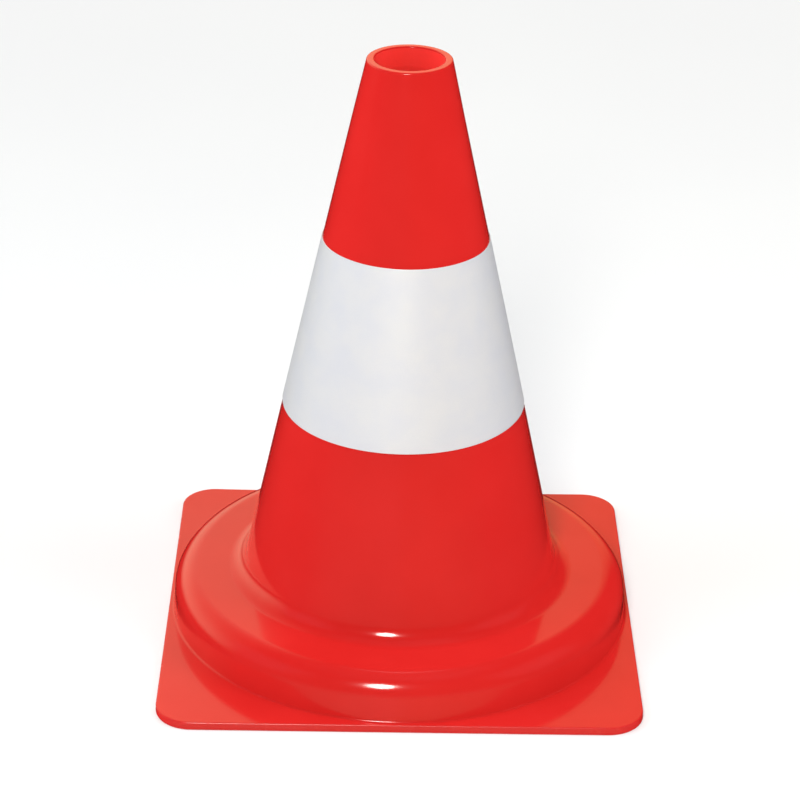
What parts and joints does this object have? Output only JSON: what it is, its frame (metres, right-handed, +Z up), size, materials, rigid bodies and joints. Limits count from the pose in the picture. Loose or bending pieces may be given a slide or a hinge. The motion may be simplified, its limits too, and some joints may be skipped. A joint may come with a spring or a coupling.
{
  "type": "traffic cone",
  "caption": "Small one-piece PVC traffic cone with a rounded ring on a square base plate, an open top and a white reflective band.",
  "frame": {"origin": "on the ground under the middle of the square base plate, on the cone's axis", "axes": "+Z up along the cone's axis to the rim, +X and +Y square to two sides of the base plate, with the band's lap at +Y"},
  "size_m": [0.237, 0.237, 0.3],
  "materials": {
    "red_pvc": "gloss moulded soft PVC",
    "reflective_film": "satin glass-bead reflective film"
  },
  "bodies": {
    "root": {"cone_body": "red_pvc", "reflective_band": "reflective_film"}
  },
  "joints": []
}
